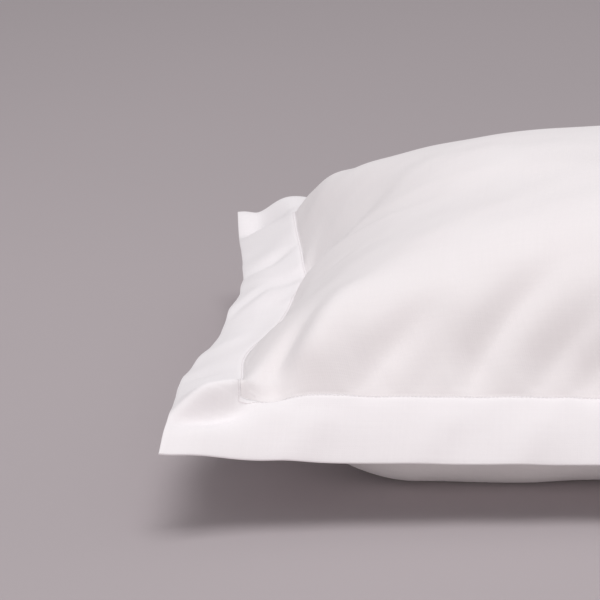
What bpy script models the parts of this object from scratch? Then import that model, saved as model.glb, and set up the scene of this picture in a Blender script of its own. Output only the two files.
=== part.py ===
"""Flanged pillowcase, plumply filled, lying on its back.

The pocket is one filled solid: a crowned top, sides that draw in between the corners, a belly that
flattens where it lies, and the main folds as soft troughs. The flange is a double sheet that runs
round the pocket outside its line of stitching, and droops by a different angle on each side.

Frame: X along the length, Y along the depth (+Y is the back), Z up, origin on the ground under the
middle of the pocket. All sizes are in metres and all angles in degrees.
"""

from collections import namedtuple

import bmesh
import bpy
import numpy as np

# The flat case, as sewn: a stitched pocket with a flange outside it.
POCKET_LENGTH = 0.75
POCKET_DEPTH = 0.50
FLANGE_WIDTH = 0.05
FLANGE_THICKNESS = 0.002
HALF_LENGTH = POCKET_LENGTH / 2
HALF_DEPTH = POCKET_DEPTH / 2
# The gap between the pocket's edge and the flange's inner edge.
STITCH_GAP = 0.0003
# The flange's level strip beside the stitching, from which it starts to droop.
HINGE_WIDTH = 0.003
# How much steeper the flange droops at its free edge than where it starts to.
FLANGE_CURL = 16

# How far the filling lifts the top above the line of stitching.
CROWN_RISE = 0.1185
# The exponents with which the crown falls to the long sides: in the middle, at the ends in front of
# its ridge and behind it, and how late along the pocket the middle's turns into the ends'.
MIDDLE_ARC = 3.2
END_ARC_FRONT = 2.6
END_ARC_BACK = 2.4
ARC_CHANGE = 1.6
# The crown's ridge, as a share of the depth, in the middle and at the left stitching, and how late
# it turns from the one to the other.
RIDGE_MIDDLE = -0.12
RIDGE_LEFT = 0.22
RIDGE_TURN = 2.5
# The crown falls towards each end with an exponent: a full end falls late and steeply. Each end is
# fuller behind its hip, a line from share hip_out of the depth at the end's stitching to share
# hip_in at the middle of the pocket. An edge below 1 makes the fall steeper at the stitching.
End = namedtuple("End", "front_fullness front_edge back_fullness back_edge hip_out hip_in hip_width")
ENDS = {
    "left": End(2.4, 1.0, 3.4, 1.05, 0.27, -0.30, 0.18),
    "right": End(3.0, 1.0, 3.8, 0.9, 0.10, 0.10, 0.40),
}
# How full the corners are: 1 gives soft corners, and more gives a hip from each of them.
CORNER_FULLNESS = 2.2
# A share too small to see, which keeps the fullness above nothing.
TINY = 1e-9
# How far folds lean outwards for each unit that they lift, at the ends and at the long sides.
LEAN_LONG = 0.5
LEAN_DEEP = 1.2
# Half the angle of the arc that crowds the top's cloth together towards the edges, from above.
SPREAD_ANGLE = 1.0
# How late the cloth goes back to its even spacing towards the line of stitching.
EDGE_EASE = 6
# How late folds that lean outwards stand upright again towards the corners.
CORNER_EASE = 6
# Half the distance over which the flange's slope is measured.
SLOPE_STEP = 0.0005
# Edges that meet at more than this angle are drawn sharp.
SHARP_ANGLE = 50

# The belly lies flat from the middle up to share flat, bends up to share bent, and from there rises
# to the stitching at a steady angle. Shares are of the flat half case.
Bend = namedtuple("Bend", "flat bent angle")
BELLY_LONG = Bend(0.63, 0.95, 50)
BELLY_DEEP = Bend(0.588, 0.78, 69)

# Cells of the pocket's grids along X, over the front quarter of its depth and over the rest of it,
# and of the flange from its inner to its free edge.
CELLS_LONG = 84
CELLS_FRONT = 14
CELLS_REST = 22
CELLS_FLANGE = 4
COLUMNS = np.linspace(-1, 1, CELLS_LONG + 1)
ROWS = np.append(np.linspace(-1, -0.5, CELLS_FRONT + 1), np.linspace(-0.5, 1, CELLS_REST + 1)[1:])

# One row for each side of the pocket. A side runs from its first to its second corner: the left and
# right sides from front to back, the front and back sides from left to right.
#   reach   how far the line of stitching lies from the middle, at both corners
#   sag     how much the side draws in, deepest at share sag_at from -1 to 1 along the side; a
#           sag_power of 2 makes an even arc and less a pointed one
#   bulge   how far it swings out again round share bulge_at, over about BULGE_WIDTH to each side
#   height  of the line of stitching over the ground at both corners, and bow added at mid-side
#   droop   of the flange below the level, at the first tip, at mid-side and at the second tip; the
#           higher droop_power, the nearer to the tips the flange keeps its droop at mid-side
BULGE_WIDTH = 0.24
Side = namedtuple(
    "Side",
    "reach_a reach_b sag sag_at sag_power bulge bulge_at height_a height_b bow "
    "droop_a droop_mid droop_b droop_power",
)
SIDES = {
    "left": Side(
        0.346, 0.347, 0.021, 0.24, 1.2, 0.012, -0.62, 0.083, 0.083, 0.001, 12, 26, 32, 2
    ),
    "right": Side(
        0.344, 0.347, 0.020, -0.10, 1.6, 0.004, 0.60, 0.084, 0.087, 0.001, 18, 30, 22, 2
    ),
    "front": Side(
        0.221, 0.223, 0.016, 0.05, 2.0, 0.000, 0.00, 0.083, 0.084, -0.0065, 22, 52, 24, 11
    ),
    "back": Side(
        0.221, 0.221, 0.017, -0.10, 2.0, 0.000, 0.00, 0.083, 0.087, -0.004, -17, 32, 10, 2
    ),
}

# Folds, on the flat case seen from its middle (u along X, v along Y). A fold runs from its start to
# its end.
#   rise         how high it stands at its middle; a trough's is negative
#   left_width   how far it takes to fade on the left of its run, and right_width on the right
#   start_taper  the share of its run over which it grows, and end_taper over which it fades
Fold = namedtuple(
    "Fold", "u_start v_start u_end v_end rise left_width right_width start_taper end_taper"
)
CASE_FOLDS = (
    # The step across the front left corner, from the free edge over the stitching: its crest and
    # the trough in front of it.
    Fold(-0.430, -0.263, -0.342, -0.2310, 0.0100, 0.022, 0.0065, 0.42, 0.45),
    Fold(-0.432, -0.275, -0.338, -0.2420, -0.0090, 0.0065, 0.013, 0.42, 0.50),
    # A roll beside the first valley, which steepens the cloth at the near left corner.
    Fold(-0.343, -0.2515, -0.243, -0.130, 0.0115, 0.026, 0.026, 0.35, 0.60),
    # Troughs that climb to the right from the front stitching.
    Fold(-0.366, -0.2515, -0.285, -0.148, -0.0095, 0.014, 0.018, 0.12, 0.55),
    Fold(-0.297, -0.2515, -0.197, -0.185, -0.0066, 0.013, 0.012, 0.28, 0.52),
    Fold(-0.256, -0.2515, -0.185, -0.205, -0.0035, 0.015, 0.016, 0.45, 0.50),
    Fold(-0.216, -0.2515, -0.105, -0.160, -0.0082, 0.013, 0.011, 0.22, 0.58),
    Fold(-0.166, -0.2515, -0.065, -0.187, -0.0056, 0.012, 0.011, 0.26, 0.60),
    Fold(-0.134, -0.2515, -0.030, -0.198, -0.0062, 0.012, 0.011, 0.22, 0.58),
    Fold(-0.085, -0.2515, 0.030, -0.165, -0.0065, 0.015, 0.011, 0.30, 0.55),
    Fold(-0.035, -0.2515, 0.070, -0.185, -0.0050, 0.014, 0.011, 0.25, 0.55),
    # Troughs on the right half, which climb to the left.
    Fold(0.345, -0.262, 0.235, -0.130, -0.0050, 0.012, 0.016, 0.20, 0.60),
    Fold(0.245, -0.2515, 0.150, -0.150, -0.0045, 0.009, 0.015, 0.12, 0.60),
    Fold(0.165, -0.2515, 0.095, -0.185, -0.0035, 0.009, 0.014, 0.12, 0.60),
    # Troughs from the back stitching.
    Fold(-0.230, 0.2515, -0.140, 0.150, -0.0045, 0.012, 0.012, 0.10, 0.60),
    Fold(-0.090, 0.2515, -0.050, 0.140, -0.0040, 0.012, 0.014, 0.10, 0.60),
    Fold(0.080, 0.2515, 0.050, 0.160, -0.0040, 0.014, 0.012, 0.10, 0.60),
    Fold(0.230, 0.2515, 0.150, 0.130, -0.0050, 0.012, 0.014, 0.10, 0.60),
    # Troughs from the right stitching.
    Fold(0.381, 0.060, 0.250, 0.010, -0.0045, 0.012, 0.014, 0.10, 0.60),
    Fold(0.381, -0.040, 0.270, -0.050, -0.0035, 0.012, 0.012, 0.10, 0.60),
    # The hip of the left end, the hollow behind it, the shoulder behind that and the back corner.
    Fold(-0.372, 0.030, -0.190, -0.040, 0.0035, 0.007, 0.030, 0.05, 0.70),
    Fold(-0.385, 0.085, -0.230, 0.030, -0.0060, 0.030, 0.020, 0.10, 0.60),
    Fold(-0.400, 0.230, -0.240, 0.110, 0.0090, 0.040, 0.035, 0.40, 0.70),
    Fold(-0.385, 0.262, -0.300, 0.190, 0.0080, 0.022, 0.022, 0.35, 0.50),
)
FLANGE_FOLDS = (
    # Soft ridges from the front stitching to the free edge.
    Fold(-0.305, -0.245, -0.345, -0.320, 0.0018, 0.016, 0.014, 0.30, 0.10),
    Fold(-0.205, -0.245, -0.260, -0.330, 0.0014, 0.014, 0.018, 0.30, 0.10),
    Fold(-0.145, -0.245, -0.175, -0.330, 0.0014, 0.013, 0.016, 0.30, 0.10),
    Fold(-0.060, -0.245, -0.080, -0.330, 0.0016, 0.016, 0.016, 0.30, 0.10),
    Fold(0.090, -0.245, 0.110, -0.330, 0.0022, 0.018, 0.016, 0.30, 0.10),
    Fold(0.230, -0.245, 0.270, -0.330, 0.0030, 0.018, 0.016, 0.30, 0.10),
    # Short troughs and ridges on the left flange.
    Fold(-0.370, 0.165, -0.432, 0.111, -0.0030, 0.010, 0.008, 0.30, 0.50),
    Fold(-0.370, 0.110, -0.430, -0.040, -0.0030, 0.008, 0.007, 0.20, 0.40),
    Fold(-0.370, -0.190, -0.432, -0.159, -0.0015, 0.006, 0.008, 0.20, 0.50),
    Fold(-0.380, -0.096, -0.450, -0.104, 0.0036, 0.026, 0.022, 0.45, 0.05),
    Fold(-0.385, 0.085, -0.450, 0.075, 0.0046, 0.028, 0.038, 0.45, 0.05),
    Fold(-0.385, -0.060, -0.450, -0.070, 0.0030, 0.030, 0.070, 0.45, 0.05),
    Fold(-0.385, -0.215, -0.450, -0.235, 0.0042, 0.050, 0.034, 0.45, 0.05),
    Fold(-0.402, 0.245, -0.402, 0.330, -0.0145, 0.016, 0.020, 0.30, 0.10),
    Fold(-0.365, 0.045, -0.470, 0.010, 0.0080, 0.070, 0.040, 0.40, 0.05),
    # Waves of the right and the back flange.
    Fold(0.370, 0.100, 0.450, 0.130, 0.0035, 0.020, 0.018, 0.30, 0.10),
    Fold(0.370, -0.110, 0.450, -0.140, -0.0035, 0.016, 0.018, 0.30, 0.10),
    Fold(-0.150, 0.245, -0.170, 0.330, 0.0035, 0.020, 0.020, 0.30, 0.10),
    Fold(0.140, 0.245, 0.160, 0.330, 0.0035, 0.020, 0.022, 0.30, 0.10),
)


def between(first, second, share):
    """The value that share, from -1 to 1, gives between first and second."""
    return first + (second - first) * (share + 1) / 2


def smooth(edge_0, edge_1, value):
    """0 up to edge_0, 1 from edge_1, and an even S-curve between them."""
    share = np.clip((value - edge_0) / (edge_1 - edge_0), 0, 1)
    return share * share * (3 - 2 * share)


def reach(side, share):
    """How far the side's line of stitching lies from the middle, at a share from -1 to 1 along it."""
    room = np.where(share > side.sag_at, 1 - side.sag_at, 1 + side.sag_at)
    drawn_in = 1 - (np.abs(share - side.sag_at) / room) ** side.sag_power
    bulge = side.bulge * np.exp(-(((share - side.bulge_at) / BULGE_WIDTH) ** 2))
    return between(side.reach_a, side.reach_b, share) - side.sag * drawn_in + bulge


def height(side, share):
    """The height of the side's line of stitching."""
    return between(side.height_a, side.height_b, share) + side.bow * (1 - share**2)


def droop(side, share, tip):
    """The flange's angle below the level along the side, whose tips are at shares -tip and tip."""
    mid_share = 1 - (np.abs(share) / tip) ** side.droop_power
    tips = between(side.droop_a, side.droop_b, share / tip)
    return np.radians(tips + (side.droop_mid - tips) * mid_share)


def crowded(share):
    """Where a share of the flat top, from -1 to 1, lies once it is curved, seen from above."""
    return np.sin(SPREAD_ANGLE * share) / np.sin(SPREAD_ANGLE)


def bend_path(bend, share):
    """(run, rise) of the belly's profile at a share from -1 to 1 of the flat cloth."""
    size = np.abs(share)
    angle = np.radians(bend.angle)
    radius = (bend.bent - bend.flat) / angle
    turned = np.clip((size - bend.flat) / radius, 0, angle)
    straight = np.maximum(size - bend.bent, 0)
    run = np.minimum(size, bend.flat) + radius * np.sin(turned) + straight * np.cos(angle)
    rise = radius * (1 - np.cos(turned)) + straight * np.sin(angle)
    return run, rise


def laid(bend, share):
    """Where a share of the flat belly lies, seen from above."""
    return np.sign(share) * bend_path(bend, share)[0] / bend_path(bend, 1)[0]


def sunk(bend, share):
    """The share of its full drop that the belly has: 1 where it lies flat and 0 at the stitching."""
    return 1 - bend_path(bend, share)[1] / bend_path(bend, 1)[1]


def place(negative_side, positive_side, share, curved, across):
    """The place along one axis between two opposite sides, seen from above.

    share is the flat cloth's own and curved is where it lies well inside the pocket. The cloth goes
    back to its even spacing towards the sides that run this way.
    """
    seen = share + (curved - share) * (1 - np.minimum(np.abs(across), 1) ** EDGE_EASE)
    low = reach(negative_side, across)
    high = reach(positive_side, across)
    return (high + low) / 2 * seen + (high - low) / 2 * seen**2


def stitch_height(p, q):
    """The level of the line of stitching, carried across the pocket from its four sides."""
    front, back = height(SIDES["front"], p), height(SIDES["back"], p)
    left, right = height(SIDES["left"], q), height(SIDES["right"], q)
    from_corners = between(
        between(SIDES["front"].height_a, SIDES["front"].height_b, p),
        between(SIDES["back"].height_a, SIDES["back"].height_b, p),
        q,
    )
    return between(front, back, q) + between(left, right, p) - from_corners


def end_fall(end, p, q):
    """The filling's share of its full height towards one end."""
    hip = end.hip_in + (end.hip_out - end.hip_in) * np.abs(p)
    behind = smooth(-end.hip_width, end.hip_width, q - hip)
    exponent = end.front_fullness + (end.back_fullness - end.front_fullness) * behind
    edge = end.front_edge + (end.back_edge - end.front_edge) * behind
    return np.maximum(1 - np.abs(p) ** exponent, 0) ** edge


def ridge(p):
    """The share of the depth at which the crown's ridge runs."""
    return RIDGE_MIDDLE + (RIDGE_LEFT - RIDGE_MIDDLE) * np.maximum(-p, 0) ** RIDGE_TURN


def fullness(p, q):
    """The filling's share of its full height: 1 in the middle and 0 along the line of stitching."""
    ends = np.where(p < 0, end_fall(ENDS["left"], p, q), end_fall(ENDS["right"], p, q))
    at_end = np.where(q < ridge(p), END_ARC_FRONT, END_ARC_BACK)
    share = np.where(q > ridge(p), (q - ridge(p)) / (1 - ridge(p)), (ridge(p) - q) / (1 + ridge(p)))
    arc = 1 - share ** (at_end + (MIDDLE_ARC - at_end) * (1 - np.abs(p) ** ARC_CHANGE))
    joined = np.maximum(ends, TINY) ** -CORNER_FULLNESS + np.maximum(arc, TINY) ** -CORNER_FULLNESS
    return (joined - 1) ** (-1 / CORNER_FULLNESS)


def fold_relief(folds, u, v):
    """How far the folds lift the cloth at a point of the flat case."""
    relief = np.zeros_like(u)
    for fold in folds:
        run_u, run_v = fold.u_end - fold.u_start, fold.v_end - fold.v_start
        length = np.hypot(run_u, run_v)
        from_u, from_v = u - fold.u_start, v - fold.v_start
        along = (from_u * run_u + from_v * run_v) / length**2
        off = (from_v * run_u - from_u * run_v) / length
        width = np.where(off > 0, fold.left_width, fold.right_width)
        taper = smooth(0, fold.start_taper, along) * smooth(1, 1 - fold.end_taper, along)
        relief += fold.rise * taper * np.exp(-((off / width) ** 2))
    return relief


def lift(u, v, folds):
    """The shift that folds give the cloth: upwards, and outwards too near the sides."""
    p, q = np.clip(u / HALF_LENGTH, -1, 1), np.clip(v / HALF_DEPTH, -1, 1)
    leaning = 1 - np.abs(p * q) ** CORNER_EASE
    lean = np.stack([LEAN_LONG * p**3 * leaning, LEAN_DEEP * q**3 * leaning, np.ones_like(p)], -1)
    direction = lean / np.linalg.norm(lean, axis=-1, keepdims=True)
    return direction * fold_relief(folds, u, v)[..., None]


def pocket_top(p, q):
    """Points of the pocket's top."""
    x = place(SIDES["left"], SIDES["right"], p, crowded(p), q)
    y = place(SIDES["front"], SIDES["back"], q, crowded(q), p)
    z = stitch_height(p, q) + FLANGE_THICKNESS / 2 + CROWN_RISE * fullness(p, q)
    return np.stack([x, y, z], -1) + lift(p * HALF_LENGTH, q * HALF_DEPTH, CASE_FOLDS)


def pocket_belly(p, q):
    """Points of the pocket's underside, flat where it lies on the ground."""
    x = place(SIDES["left"], SIDES["right"], p, laid(BELLY_LONG, p), q)
    y = place(SIDES["front"], SIDES["back"], q, laid(BELLY_DEEP, q), p)
    raised = 1 - sunk(BELLY_LONG, p) * sunk(BELLY_DEEP, q)
    z = (stitch_height(p, q) - FLANGE_THICKNESS / 2) * raised
    shift = lift(p * HALF_LENGTH, q * HALF_DEPTH, CASE_FOLDS) * raised[..., None]
    return np.stack([x, y, z], -1) + shift


def flange_points(u, v):
    """Points of the flange's middle surface over the flat case."""
    p, q = u / HALF_LENGTH, v / HALF_DEPTH
    inner_p, inner_q = np.clip(p, -1, 1), np.clip(q, -1, 1)
    out_x = np.maximum(np.abs(u) - HALF_LENGTH, 0)
    out_y = np.maximum(np.abs(v) - HALF_DEPTH, 0)
    tip_p, tip_q = 1 + FLANGE_WIDTH / HALF_LENGTH, 1 + FLANGE_WIDTH / HALF_DEPTH
    droop_x = np.where(u < 0, droop(SIDES["left"], q, tip_q), droop(SIDES["right"], q, tip_q))
    droop_y = np.where(v < 0, droop(SIDES["front"], p, tip_p), droop(SIDES["back"], p, tip_p))
    run_x, drop_x = hinged(out_x, droop_x)
    run_y, drop_y = hinged(out_y, droop_y)
    grown_x, grown_y = smooth(0, FLANGE_WIDTH, out_x), smooth(0, FLANGE_WIDTH, out_y)
    drop_x = drop_x * (1 - grown_y * (1 - grown_x))
    drop_y = drop_y * (1 - grown_x * (1 - grown_y))
    run_x = run_x + STITCH_GAP * (np.abs(inner_p) == 1)
    run_y = run_y + STITCH_GAP * (np.abs(inner_q) == 1)
    x = place(SIDES["left"], SIDES["right"], inner_p, inner_p, q) + run_x * np.sign(u)
    y = place(SIDES["front"], SIDES["back"], inner_q, inner_q, p) + run_y * np.sign(v)
    z = stitch_height(p, q) - drop_x - drop_y
    own_folds = lift(u, v, FLANGE_FOLDS) * smooth(0, FLANGE_WIDTH / 2, out_x + out_y)[..., None]
    return np.stack([x, y, z], -1) + lift(u, v, CASE_FOLDS) + own_folds


def hinged(out, angle):
    """(run, drop) at a distance out along a flange that is level up to HINGE_WIDTH and then droops.

    angle is its mean droop: it bends evenly, by FLANGE_CURL in all.
    """
    curl = np.radians(FLANGE_CURL)
    radius = (FLANGE_WIDTH - HINGE_WIDTH) / curl
    first = angle - curl / 2
    turned = first + np.maximum(out - HINGE_WIDTH, 0) / radius
    run = np.minimum(out, HINGE_WIDTH) + radius * (np.sin(turned) - np.sin(first))
    return run, radius * (np.cos(first) - np.cos(turned))


def normals(surface, u, v):
    """Unit normals of a surface, upwards."""
    along_u = surface(u + SLOPE_STEP, v) - surface(u - SLOPE_STEP, v)
    along_v = surface(u, v + SLOPE_STEP) - surface(u, v - SLOPE_STEP)
    normal = np.cross(along_u, along_v)
    return normal / np.linalg.norm(normal, axis=-1, keepdims=True)


def flange_skin(u, v, facing):
    """Points of the flange's upper skin (facing 1) or lower skin (facing -1)."""
    out = np.maximum(np.abs(u) - HALF_LENGTH, np.abs(v) - HALF_DEPTH)
    leaning = smooth(0, 2 * HINGE_WIDTH, out)[..., None]
    upright = np.array([0.0, 0.0, 1.0])
    across = upright + (normals(flange_points, u, v) - upright) * leaning
    return flange_points(u, v) + across * (facing * FLANGE_THICKNESS / 2)[..., None]


def flat_skins(bm, columns, rows):
    """Adds two flat grids, at heights 1 and -1, with vertices at the given columns and rows."""
    for level in (1, -1):
        cells_long, cells_deep = len(columns) - 1, len(rows) - 1
        made = bmesh.ops.create_grid(bm, x_segments=cells_long, y_segments=cells_deep, size=1)
        for vertex in made["verts"]:
            column = round((vertex.co.x + 1) / 2 * cells_long)
            row = round((vertex.co.y + 1) / 2 * cells_deep)
            vertex.co = (columns[column], rows[row], level)


def join_skins(bm, edges):
    """Joins one open loop of the upper skin to the same loop of the lower skin."""
    bmesh.ops.bridge_loops(bm, edges=edges)


def shape(bm, surface):
    """Moves every vertex from its flat place to its place on the upper or the lower surface."""
    flat = np.array([vertex.co for vertex in bm.verts])
    for vertex, point in zip(bm.verts, surface(flat[:, 0], flat[:, 1], flat[:, 2])):
        vertex.co = point
    bmesh.ops.recalc_face_normals(bm, faces=bm.faces)


def finished_object(bm, name, material, collection):
    """Turns the mesh into a named object of the collection."""
    mesh = bpy.data.meshes.new(name)
    bm.to_mesh(mesh)
    bm.free()
    mesh.materials.append(material)
    mesh.shade_smooth()
    mesh.set_sharp_from_angle(angle=np.radians(SHARP_ANGLE))
    obj = bpy.data.objects.new(name, mesh)
    collection.objects.link(obj)


def make_pocket(material, collection):
    """The filled pocket: its top and its belly, joined by a narrow wall at the stitching."""
    bm = bmesh.new()
    flat_skins(bm, COLUMNS * HALF_LENGTH, ROWS * HALF_DEPTH)
    join_skins(bm, [edge for edge in bm.edges if edge.is_boundary])

    def surface(u, v, facing):
        p, q = u / HALF_LENGTH, v / HALF_DEPTH
        return np.where(facing[..., None] > 0, pocket_top(p, q), pocket_belly(p, q))

    shape(bm, surface)
    resting = [face for face in bm.faces if all(vertex.co.z == 0 for vertex in face.verts)]
    bmesh.ops.dissolve_faces(bm, faces=resting, use_verts=True)
    finished_object(bm, "filled_pocket", material, collection)


def beyond_stitching(flat_point):
    """How far a point of the flat case lies outside the line of stitching."""
    return max(abs(flat_point.x) - HALF_LENGTH, abs(flat_point.y) - HALF_DEPTH)


def make_flange(material, collection):
    """The flange: two skins over a ring of cells round the pocket, joined at both its edges."""
    bm = bmesh.new()
    outside = np.append(HINGE_WIDTH, np.linspace(0, FLANGE_WIDTH, CELLS_FLANGE + 1)[1:])
    long_cells, deep_cells = COLUMNS * HALF_LENGTH, ROWS * HALF_DEPTH
    columns = np.concatenate([-HALF_LENGTH - outside[::-1], long_cells, HALF_LENGTH + outside])
    rows = np.concatenate([-HALF_DEPTH - outside[::-1], deep_cells, HALF_DEPTH + outside])
    flat_skins(bm, columns, rows)
    inner = [face for face in bm.faces if beyond_stitching(face.calc_center_median()) < 0]
    bmesh.ops.delete(bm, geom=inner, context="FACES")
    middles = {edge: edge.verts[0].co.lerp(edge.verts[1].co, 0.5) for edge in bm.edges}
    loops = [edge for edge in bm.edges if edge.is_boundary]
    join_skins(bm, [edge for edge in loops if beyond_stitching(middles[edge]) < FLANGE_WIDTH / 2])
    join_skins(bm, [edge for edge in loops if beyond_stitching(middles[edge]) > FLANGE_WIDTH / 2])
    shape(bm, flange_skin)
    finished_object(bm, "flange", material, collection)


def cotton(name, colour, roughness):
    """A plain woven cotton."""
    material = bpy.data.materials.new(name)
    material.use_nodes = True
    shader = material.node_tree.nodes["Principled BSDF"]
    shader.inputs["Base Color"].default_value = (*colour, 1)
    shader.inputs["Roughness"].default_value = roughness
    shader.inputs["Metallic"].default_value = 0
    return material


def main():
    for obj in list(bpy.data.objects):
        bpy.data.objects.remove(obj)
    collection = bpy.data.collections.new("flanged_pillowcase")
    bpy.context.scene.collection.children.link(collection)
    make_pocket(cotton("white_cotton", (0.86, 0.84, 0.84), 0.85), collection)
    make_flange(cotton("white_cotton_double", (0.88, 0.86, 0.86), 0.85), collection)


main()
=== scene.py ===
"""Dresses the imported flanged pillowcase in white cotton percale, on a plain floor in soft light.

Sizes are in metres and angles in degrees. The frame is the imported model's own: X along the length,
Y along the depth (+Y is the back), Z up, origin on the ground under the middle of the case. The
forms below repeat the solids' own; creases, puckers and stitches are added to them.
"""

from collections import namedtuple

import bmesh
import bpy
import numpy as np
from bpy.props import FloatProperty, PointerProperty, StringProperty
from mathutils import Matrix, Vector


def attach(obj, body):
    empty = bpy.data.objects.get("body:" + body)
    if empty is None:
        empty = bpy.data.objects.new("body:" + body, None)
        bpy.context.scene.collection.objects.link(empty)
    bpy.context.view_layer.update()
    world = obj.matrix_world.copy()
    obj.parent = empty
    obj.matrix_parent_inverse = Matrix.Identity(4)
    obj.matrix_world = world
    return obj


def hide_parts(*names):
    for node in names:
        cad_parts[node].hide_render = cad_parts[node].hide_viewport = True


bl_info = {
    "name": "Flanged pillowcase",
    "version": (1, 0, 0),
    "blender": (4, 5, 0),
    "location": "3D View > Sidebar > Pillowcase",
    "description": "Makes a plump flanged pillowcase in cotton percale, with stitching and stage",
    "category": "Object",
}

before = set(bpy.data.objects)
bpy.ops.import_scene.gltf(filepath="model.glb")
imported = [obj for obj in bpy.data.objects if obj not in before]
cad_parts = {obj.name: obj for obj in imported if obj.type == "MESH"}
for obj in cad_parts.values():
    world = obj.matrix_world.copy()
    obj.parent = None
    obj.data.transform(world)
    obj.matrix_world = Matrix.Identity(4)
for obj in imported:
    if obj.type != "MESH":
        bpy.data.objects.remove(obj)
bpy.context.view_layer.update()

# The flat case, as sewn: a stitched pocket with a flange outside it.
POCKET_LENGTH = 0.75
POCKET_DEPTH = 0.50
FLANGE_WIDTH = 0.05
FLANGE_THICKNESS = 0.002
HALF_LENGTH = POCKET_LENGTH / 2
HALF_DEPTH = POCKET_DEPTH / 2
# The gap between the pocket and the flange. It is narrower than the solids' own, which would show
# as a dark line.
STITCH_GAP = 0.00005
# The flange's level strip beside the stitching, and how much more it droops at its free edge.
HINGE_WIDTH = 0.003
FLANGE_CURL = 16
# The turned free edge is round, with half the flange's thickness as its radius.
EDGE_RADIUS = FLANGE_THICKNESS / 2

# The filling's crown, as in the solids: how high it rises, how it falls to the long sides, where
# its ridge runs and how full each end and the corners are.
CROWN_RISE = 0.1185
MIDDLE_ARC = 3.2
END_ARC_FRONT = 2.6
END_ARC_BACK = 2.4
ARC_CHANGE = 1.6
RIDGE_MIDDLE = -0.12
RIDGE_LEFT = 0.22
RIDGE_TURN = 2.5
End = namedtuple(
    "End", "front_fullness front_edge back_fullness back_edge hip_out hip_in hip_width"
)
ENDS = {
    "left": End(2.4, 1.0, 3.4, 1.05, 0.27, -0.30, 0.18),
    "right": End(3.0, 1.0, 3.8, 0.9, 0.10, 0.10, 0.40),
}
CORNER_FULLNESS = 2.2
# A share too small to see, which keeps the fullness above nothing.
TINY = 1e-9
# How far folds lean outwards for each unit that they lift, and how late they stop towards corners.
LEAN_LONG = 0.5
LEAN_DEEP = 1.2
CORNER_EASE = 6
# How the top's cloth crowds together towards the edges, and how late it stops doing so beside them.
SPREAD_ANGLE = 1.0
EDGE_EASE = 6
# Half the distance over which a slope is measured.
SLOPE_STEP = 0.0005
# The belly's profile: the shares up to which it lies flat and bends, and its angle from there.
Bend = namedtuple("Bend", "flat bent angle")
BELLY_LONG = Bend(0.63, 0.95, 50)
BELLY_DEEP = Bend(0.588, 0.78, 69)

# The four sides, as in the solids: where the stitching runs and how the flange droops.
BULGE_WIDTH = 0.24
Side = namedtuple(
    "Side",
    "reach_a reach_b sag sag_at sag_power bulge bulge_at height_a height_b bow "
    "droop_a droop_mid droop_b droop_power",
)
SIDES = {
    "left": Side(
        0.346, 0.347, 0.021, 0.24, 1.2, 0.012, -0.62, 0.083, 0.083, 0.001, 12, 26, 32, 2
    ),
    "right": Side(
        0.344, 0.347, 0.020, -0.10, 1.6, 0.004, 0.60, 0.084, 0.087, 0.001, 18, 30, 22, 2
    ),
    "front": Side(
        0.221, 0.223, 0.016, 0.05, 2.0, 0.000, 0.00, 0.083, 0.084, -0.0065, 22, 52, 24, 11
    ),
    "back": Side(
        0.221, 0.221, 0.017, -0.10, 2.0, 0.000, 0.00, 0.083, 0.087, -0.004, -17, 32, 10, 2
    ),
}

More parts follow.
